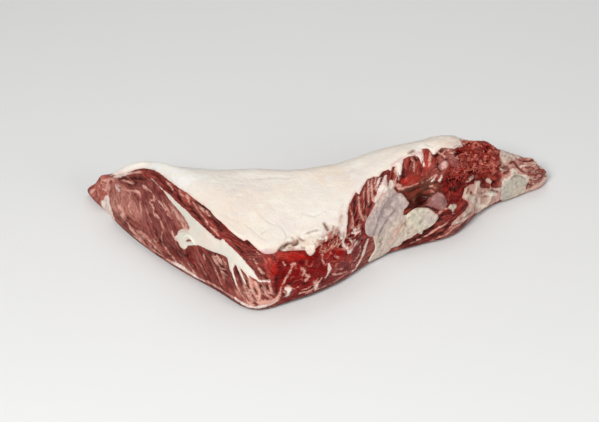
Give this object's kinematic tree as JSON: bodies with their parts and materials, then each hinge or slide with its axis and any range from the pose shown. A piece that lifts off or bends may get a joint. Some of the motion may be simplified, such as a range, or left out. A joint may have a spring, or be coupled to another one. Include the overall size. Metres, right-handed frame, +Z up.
{
  "type": "raw tri-tip",
  "caption": "Whole raw tri-tip of beef lying fat cap up: a long boomerang-shaped muscle with a pale fat cap and a seam of fat in its cut end.",
  "frame": {"origin": "centre of the bounding box's bottom face, in the plane that the meat lies on", "axes": "+X along the roast to its thin tip, +Y from the pointed front edge to the back, +Z up through the fat cap"},
  "size_m": [0.3396, 0.1639, 0.0573],
  "materials": {
    "lean": "moist",
    "fat": "satin",
    "seam_fat": "satin"
  },
  "bodies": {
    "root": {"lean": "lean", "fat_cap": "fat", "seam_fat": "seam_fat"}
  },
  "joints": []
}
